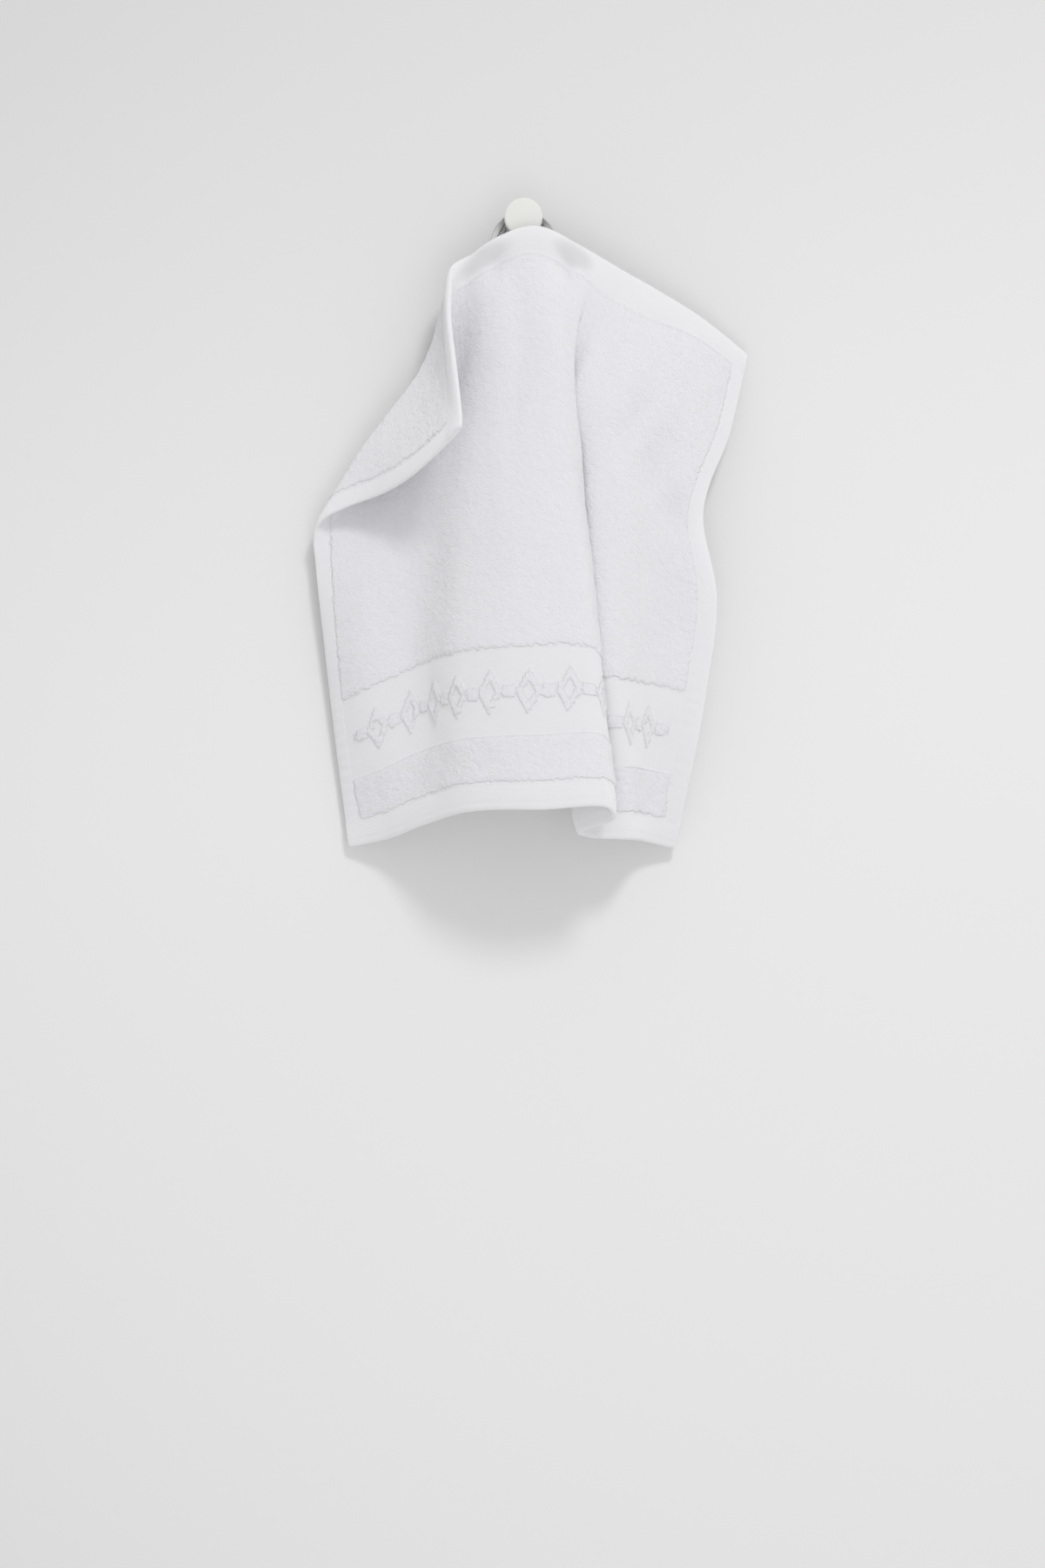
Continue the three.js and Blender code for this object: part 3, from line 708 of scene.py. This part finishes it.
class Signal:
    """A value on its way through a material. Sums, products and powers of these add Math nodes."""

    def __init__(self, board, socket):
        self.board = board
        self.socket = socket

    def joined(self, operation, first, second):
        return self.board.add("ShaderNodeMath", {"operation": operation}, {0: first, 1: second})

    def __add__(self, other):
        return self.joined("ADD", self, other)

    def __radd__(self, other):
        return self.joined("ADD", other, self)

    def __sub__(self, other):
        return self.joined("SUBTRACT", self, other)

    def __rsub__(self, other):
        return self.joined("SUBTRACT", other, self)

    def __mul__(self, other):
        return self.joined("MULTIPLY", self, other)

    def __rmul__(self, other):
        return self.joined("MULTIPLY", other, self)

    def __pow__(self, other):
        return self.joined("POWER", self, other)

    def sine(self):
        return self.joined("SINE", self, 0.0)

    def size(self):
        return self.joined("ABSOLUTE", self, 0.0)

    def step(self, low, high):
        """0 below low, 1 above high, and a smooth rise between them."""
        settings = {"interpolation_type": "SMOOTHSTEP"}
        return self.board.add("ShaderNodeMapRange", settings, {0: self, 1: low, 2: high, 3: 0.0, 4: 1.0})


class Board:
    """The nodes of one material."""

    def __init__(self, name):
        self.material = bpy.data.materials.new(name)
        self.material.use_nodes = True
        self.tree = self.material.node_tree
        self.tree.nodes.clear()

    def add(self, kind, settings=None, inputs=None, output=0):
        """A node of a kind, with its settings first, then its sockets' values or links; returns one output."""
        node = self.tree.nodes.new(kind)
        for name, value in (settings or {}).items():
            setattr(node, name, value)
        for name, value in (inputs or {}).items():
            if isinstance(value, Signal):
                self.tree.links.new(value.socket, node.inputs[name])
            else:
                node.inputs[name].default_value = value
        return Signal(self, node.outputs[output]) if len(node.outputs) else None

    def mix(self, factor, first, second):
        """A colour between two colours."""
        return self.add("ShaderNodeMix", {"data_type": "RGBA"}, {0: factor, 6: first, 7: second}, 2)

    def finish(self, colour, bump, through=0.0, **settings):
        """The surface shader with its colour and bump, and a share of light passed through, as the output."""
        inputs = {"Base Color": colour, "Normal": bump}
        inputs.update({name.replace("_", " "): value for name, value in settings.items()})
        surface = self.add("ShaderNodeBsdfPrincipled", {}, inputs)
        if through:
            passed = self.add("ShaderNodeBsdfTranslucent", {}, {"Color": (0.98, 0.98, 0.98, 1.0)})
            surface = self.add("ShaderNodeMixShader", {}, {0: through, 1: surface, 2: passed})
        self.add("ShaderNodeOutputMaterial", {}, {"Surface": surface})
        return self.material

    def noise(self, place, scale, detail=2.0, dimensions="2D"):
        """Cloudy noise, about 0 to 1; the scale is its number of clouds to a metre."""
        inputs = {"Vector": place, "Scale": scale, "Detail": detail, "Roughness": 0.55}
        return self.add("ShaderNodeTexNoise", {"noise_dimensions": dimensions}, inputs)


def rgba(colour, factor=1.0):
    """An opaque colour, darkened by a factor."""
    return tuple(factor * part for part in colour) + (1.0,)


def terry_material(looks):
    """Looped pile where the mask says, fine crosswise ribs elsewhere, painted shade in the pits between the loops,
    and two ovals of painted shade on the top hem.
    """
    board = Board("terry")
    place = board.add("ShaderNodeUVMap", {"uv_map": "cloth"})
    mask = board.add("ShaderNodeAttribute", {"attribute_name": "pile"}, {}, "Fac")
    across = board.add("ShaderNodeSeparateXYZ", {}, {0: place}, 0)
    down = board.add("ShaderNodeSeparateXYZ", {}, {0: place}, 1)
    specks = board.noise(place, 900.0, 3.0)
    clumps = board.noise(place, 260.0, 3.0)
    drift = board.noise(place, 22.0, 2.0)
    loops = board.add(
        "ShaderNodeTexVoronoi",
        {"voronoi_dimensions": "2D", "feature": "SMOOTH_F1"},
        {"Vector": place, "Scale": 760.0, "Randomness": 0.9, "Smoothness": 0.4},
        "Distance",
    )
    pile = (mask + (specks - 0.5) * 0.5).step(0.3, 0.7)
    ribs = (down * (math.tau / (1.4 * MM))).sine() * 0.5 + 0.5
    threads = board.noise(place, 1500.0, 2.0)
    height = pile * ((1 - loops) * 0.6 + clumps * 1.3 + specks * 0.3)
    height = height + (1 - pile) * (ribs * 0.07 + threads * 0.12)
    bump = board.add("ShaderNodeBump", {}, {"Strength": looks.pile_relief, "Distance": 1 * MM, "Height": height})
    # shade: painted shade in the pits between the loops, with tone that differs at random by the clumps and the
    # drift
    shade = pile * (loops * 0.22 + (clumps - 0.5) * 0.4) + (drift - 0.5) * 0.15 + 0.04
    pale = board.mix(pile, rgba(looks.weave_colour), rgba(looks.terry_colour))
    colour = board.mix(shade.step(0.0, 1.0), pale, rgba(looks.terry_colour, 0.92))
    # Two ovals of painted shade on the top hem, beside the sewn ends.
    from_level = ((down - SHADE_LEVEL) * (1 / SHADE_LEVEL)) ** 2.0
    for middle, reach in PAINTED_HEM_SHADES:
        apart = ((across - middle) * (1 / reach)) ** 2.0 + from_level
        colour = board.mix(apart.step(1.5, 0.1) * 0.55, colour, rgba(looks.terry_colour, 0.8))
    fibre = {"Roughness": 0.95, "Diffuse_Roughness": 0.9, "Sheen_Weight": 0.6, "Sheen_Roughness": 0.5}
    return board.finish(colour, bump, looks.light_through, Specular_IOR_Level=0.15, **fibre)


def thread_material(looks):
    """Sewing thread: fine fibres in relief and in shade."""
    board = Board("sewing_thread")
    place = board.add("ShaderNodeTexCoord", {}, {}, "Object")
    fine = board.noise(place, 1800.0, 2.0, "3D")
    bump = board.add("ShaderNodeBump", {}, {"Strength": 0.4, "Distance": 0.2 * MM, "Height": fine})
    colour = board.mix(fine, rgba(looks.weave_colour, 0.93), rgba(looks.weave_colour))
    return board.finish(colour, bump, Roughness=0.8, Specular_IOR_Level=0.3)


def tape_material(looks):
    """Twill tape with a grey line near each edge and two rows of small dark dashes between them. The lines and the
    rows stand at distances from its middle in millimetres."""
    board = Board("loop_tape")
    place = board.add("ShaderNodeUVMap", {"uv_map": "cloth"})
    across = board.add("ShaderNodeSeparateXYZ", {}, {0: place}, 0)
    along = board.add("ShaderNodeSeparateXYZ", {}, {0: place}, 1)
    twill = ((along + across * 0.6) * (math.tau / (0.7 * MM))).sine() * 0.5 + 0.5
    fibres = board.noise(place, 2500.0, 2.0)
    bump = board.add(
        "ShaderNodeBump", {}, {"Strength": 0.6, "Distance": 0.25 * MM, "Height": twill * 0.7 + fibres * 0.3}
    )
    line_place, row_place, dash_pitch = 4.7, 1.35, 1.9 * MM
    off = across.size()
    line = (off * (1 / MM) - line_place).size().step(0.28, 0.12)
    row = (off * (1 / MM) - row_place).size().step(0.62, 0.42)
    dashes = (along * (math.tau / dash_pitch) + across * 1500.0).sine().step(-0.35, 0.1)
    ink = row * dashes
    colour = board.mix(twill * 0.5 + fibres * 0.5, rgba(looks.tape_colour, 0.9), rgba(looks.tape_colour))
    colour = board.mix(line * 0.6, colour, rgba(looks.tape_line_colour))
    colour = board.mix(ink * 0.9, colour, rgba(looks.tape_mark_colour))
    return board.finish(colour, bump, Roughness=0.75, Specular_IOR_Level=0.3)


def knob_material(looks):
    """Satin paint: a fine orange peel in relief and gloss, and faint clouds of shade."""
    board = Board("knob_paint")
    place = board.add("ShaderNodeTexCoord", {}, {}, "Object")
    peel = board.noise(place, 420.0, 3.0, "3D")
    cloud = board.noise(place, 60.0, 2.0, "3D")
    bump = board.add("ShaderNodeBump", {}, {"Strength": 0.25, "Distance": 0.2 * MM, "Height": peel})
    colour = board.mix(cloud, rgba(looks.knob_colour, 0.97), rgba(looks.knob_colour))
    return board.finish(colour, bump, Roughness=0.42 + 0.12 * peel, Specular_IOR_Level=0.4)


def wall_material(looks):
    """Plain matt wall, seen through from behind, with painted light and shade: it darkens with the squared distance
    from the brightest place of its painted light, and again upwards and a little to the left."""
    board = Board("wall_paint")
    place = board.add("ShaderNodeTexCoord", {}, {}, "Object")
    x = board.add("ShaderNodeSeparateXYZ", {}, {0: place}, "X")
    z = board.add("ShaderNodeSeparateXYZ", {}, {0: place}, "Z")
    # Painted light and shade: darker away from the brightest place of the painted light, and towards the top left.
    far = (((x - PAINTED_LIGHT_X) * 0.9) ** 2.0 + ((z - PAINTED_LIGHT_Z) * 0.98) ** 2.0) * 1.1
    grain = board.noise(place, 900.0, 2.0, "3D")
    colour = board.mix(far.step(0.0, 1.2), rgba(looks.wall_colour), rgba(looks.wall_colour, 0.8))
    colour = board.mix((z - x * 0.12).step(-0.35, 0.45) * 0.65, colour, rgba(looks.wall_colour, 0.7))
    bump = board.add("ShaderNodeBump", {}, {"Strength": 0.05, "Distance": 0.1 * MM, "Height": grain})
    paint = board.add("ShaderNodeBsdfDiffuse", {}, {"Color": colour, "Normal": bump})
    clear = board.add("ShaderNodeBsdfTransparent")
    behind = board.add("ShaderNodeNewGeometry", {}, {}, "Backfacing")
    surface = board.add("ShaderNodeMixShader", {}, {0: behind, 1: paint, 2: clear})
    board.add("ShaderNodeOutputMaterial", {}, {"Surface": surface})
    return board.material


def floor_material(looks):
    """Plain pale floor with a faint cloudy grain."""
    board = Board("floor_paint")
    place = board.add("ShaderNodeTexCoord", {}, {}, "Object")
    grain = board.noise(place, 30.0, 3.0, "3D")
    colour = board.mix(grain, rgba(looks.floor_colour, 0.97), rgba(looks.floor_colour))
    bump = board.add("ShaderNodeBump", {}, {"Strength": 0.05, "Distance": 0.5 * MM, "Height": grain})
    return board.finish(colour, bump, Roughness=0.8)


def flat_board(name, corners, material):
    """One four-sided face that belongs to the studio."""
    mesh = bpy.data.meshes.new(name)
    mesh.from_pydata(corners, [], [(0, 1, 2, 3)])
    mesh.materials.append(material)
    board = bpy.data.objects.new(name, mesh)
    bpy.context.scene.collection.objects.link(board)
    return board


def soft_light(name, place, width, power):
    """A round soft light at a place, turned towards the middle of the cloth."""
    lamp = bpy.data.lights.new(name, "AREA")
    lamp.shape = "DISK"
    lamp.size = width
    lamp.energy = power
    light = bpy.data.objects.new(name, lamp)
    light.location = place
    aim = CLOTH_MIDDLE - Vector(place)
    light.rotation_euler = aim.to_track_quat("-Z", "Y").to_euler()
    bpy.context.scene.collection.objects.link(light)


def build_studio(studio, looks):
    """Wall, floor, a soft light high on the right, a broad one low in front, an even pale surrounding and the
    camera."""
    scene = bpy.context.scene
    wide, back, low = WALL_HALF_WIDTH, WALL_GAP, studio.floor_height
    wall = [(-wide, back, low), (wide, back, low), (wide, back, WALL_TOP), (-wide, back, WALL_TOP)]
    flat_board("wall", wall, wall_material(looks))
    floor = [(-wide, FLOOR_FRONT, low), (wide, FLOOR_FRONT, low), (wide, FLOOR_BACK, low), (-wide, FLOOR_BACK, low)]
    flat_board("floor", floor, floor_material(looks))
    soft_light("high_light", HIGH_LIGHT, studio.light_size, studio.light_power)
    soft_light("low_light", LOW_LIGHT, studio.fill_size, studio.fill_power)
    world = bpy.data.worlds.new("pale_room")
    world.use_nodes = True
    backdrop = world.node_tree.nodes["Background"]
    backdrop.inputs["Color"].default_value = rgba(looks.room_colour)
    backdrop.inputs["Strength"].default_value = studio.room_brightness
    scene.world = world
    lens = bpy.data.cameras.new("camera")
    lens.lens = LENS
    camera = bpy.data.objects.new("camera", lens)
    camera.location = CAMERA
    camera.rotation_euler = (math.pi / 2, 0, 0)
    scene.collection.objects.link(camera)
    scene.camera = camera
    scene.view_settings.view_transform = "Standard"


def colour_property(name, description, default):
    """A colour that a user may change."""
    return bpy.props.FloatVectorProperty(
        name=name, description=description, default=default, subtype="COLOR", min=0.0, max=1.0
    )


def length_property(name, description, default):
    """A length in metres that a user may change."""
    return bpy.props.FloatProperty(
        name=name, description=description, default=default, unit="LENGTH", subtype="DISTANCE", precision=5
    )


class WASHCLOTH_PG_sizes(bpy.types.PropertyGroup):
    """Thicknesses and small sizes of the cloth"""

    pile_thickness: length_property("Pile", "Thickness of the looped pile", 4.2 * MM)
    flat_thickness: length_property("Flat weave", "Thickness of the flat woven band", 2.6 * MM)
    motif_thickness: length_property("Motif", "Thickness at the raised motif", 4.4 * MM)
    stitch_pitch: length_property("Stitch pitch", "Distance between stitches", 3.0 * MM)
    unevenness: bpy.props.FloatProperty(
        name="Unevenness", description="How much the cloth waves between its folds", default=1.0, min=0.0, max=2.0
    )


class WASHCLOTH_PG_looks(bpy.types.PropertyGroup):
    """Colours and finishes"""

    terry_colour: colour_property("Terry", "Colour of the pile", (0.965, 0.96, 0.988))
    weave_colour: colour_property("Weave", "Colour of the flat weave and the hems", (0.955, 0.95, 0.965))
    tape_colour: colour_property("Tape", "Colour of the loop's tape", (0.72, 0.72, 0.72))
    tape_line_colour: colour_property("Tape lines", "Colour of the lines along the tape", (0.35, 0.35, 0.35))
    tape_mark_colour: colour_property("Tape marks", "Colour of the dashes on the tape", (0.03, 0.03, 0.035))
    knob_colour: colour_property("Knob", "Colour of the knob's paint", (0.80, 0.80, 0.775))
    wall_colour: colour_property("Wall", "Colour of the wall", (0.85, 0.85, 0.85))
    floor_colour: colour_property("Floor", "Colour of the floor", (0.8, 0.8, 0.8))
    room_colour: colour_property("Room", "Colour of the light from all sides", (1.0, 1.0, 1.0))
    light_through: bpy.props.FloatProperty(
        name="Light through",
        description="Share of the light that the cloth's faces pass on",
        default=0.24,
        min=0.0,
        max=1.0,
    )
    pile_relief: bpy.props.FloatProperty(
        name="Pile relief", description="Strength of the pile's fine relief", default=0.7, min=0.0, max=1.0
    )


class WASHCLOTH_PG_studio(bpy.types.PropertyGroup):
    """The studio's light and floor"""

    light_power: bpy.props.FloatProperty(
        name="Light", description="Power of the soft light", default=17.0, min=0.0, unit="POWER"
    )
    light_size: length_property("Light size", "Width of the soft light", 0.45)
    fill_power: bpy.props.FloatProperty(
        name="Low light", description="Power of the broad light low in front", default=13.5, min=0.0, unit="POWER"
    )
    fill_size: length_property("Low light size", "Width of the broad light low in front", 2.0)
    room_brightness: bpy.props.FloatProperty(
        name="Room", description="Brightness of the light from all sides", default=0.61, min=0.0
    )
    floor_height: length_property("Floor height", "Height of the floor", -2.2)


class PieceOperator:
    """What the operators share: an undo step and the panel's settings."""

    bl_options = {"REGISTER", "UNDO"}

    def parts(self, context):
        scene = context.scene
        return scene.washcloth_sizes, scene.washcloth_looks, scene.washcloth_studio


class WASHCLOTH_OT_cloth(PieceOperator, bpy.types.Operator):
    """Make the hanging terry cloth with its woven band, hems and folded corner, and its stitches"""

    bl_idname = "washcloth.cloth"
    bl_label = "Washcloth"

    def execute(self, context):
        sizes, looks, _ = self.parts(context)
        weave = Weave(sizes)
        cloth = build_washcloth(weave, looks)
        stitches = build_stitches(weave, sizes, looks)
        return {"FINISHED"}


class WASHCLOTH_OT_tape(PieceOperator, bpy.types.Operator):
    """Make the flat tape of the hanging loop"""

    bl_idname = "washcloth.tape"
    bl_label = "Hanging loop"

    def execute(self, context):
        _, looks, _ = self.parts(context)
        build_tape(looks)
        return {"FINISHED"}


class WASHCLOTH_OT_knob(PieceOperator, bpy.types.Operator):
    """Make the turned wall knob"""

    bl_idname = "washcloth.knob"
    bl_label = "Wall knob"

    def execute(self, context):
        _, looks, _ = self.parts(context)
        build_knob(looks)
        return {"FINISHED"}


class WASHCLOTH_OT_studio(PieceOperator, bpy.types.Operator):
    """Set up the plain wall, the floor, the light and the camera"""

    bl_idname = "washcloth.studio"
    bl_label = "Studio"

    def execute(self, context):
        _, looks, studio = self.parts(context)
        build_studio(studio, looks)
        return {"FINISHED"}


class WASHCLOTH_PT_panel(bpy.types.Panel):
    """The washcloth's pieces and their settings"""

    bl_label = "Washcloth"
    bl_idname = "WASHCLOTH_PT_panel"
    bl_space_type = "VIEW_3D"
    bl_region_type = "UI"
    bl_category = "Washcloth"

    def draw(self, context):
        layout = self.layout
        for operator in OPERATORS:
            layout.operator(operator.bl_idname)
        for name in GROUPS:
            box = layout.box()
            settings = getattr(context.scene, name)
            for key in settings.bl_rna.properties.keys():
                if key not in ("rna_type", "name"):
                    box.prop(settings, key)


GROUPS = {
    "washcloth_sizes": WASHCLOTH_PG_sizes,
    "washcloth_looks": WASHCLOTH_PG_looks,
    "washcloth_studio": WASHCLOTH_PG_studio,
}
OPERATORS = (WASHCLOTH_OT_cloth, WASHCLOTH_OT_tape, WASHCLOTH_OT_knob, WASHCLOTH_OT_studio)


def register():
    for group in (*GROUPS.values(), *OPERATORS, WASHCLOTH_PT_panel):
        bpy.utils.register_class(group)
    for name, group in GROUPS.items():
        setattr(bpy.types.Scene, name, bpy.props.PointerProperty(type=group))


def unregister():
    for name in GROUPS:
        delattr(bpy.types.Scene, name)
    for group in (WASHCLOTH_PT_panel, *reversed(OPERATORS), *reversed(GROUPS.values())):
        bpy.utils.unregister_class(group)


def main():
    register()
    bpy.ops.washcloth.cloth()
    bpy.ops.washcloth.tape()
    bpy.ops.washcloth.knob()
    bpy.ops.washcloth.studio()


if __name__ == "__main__":
    main()
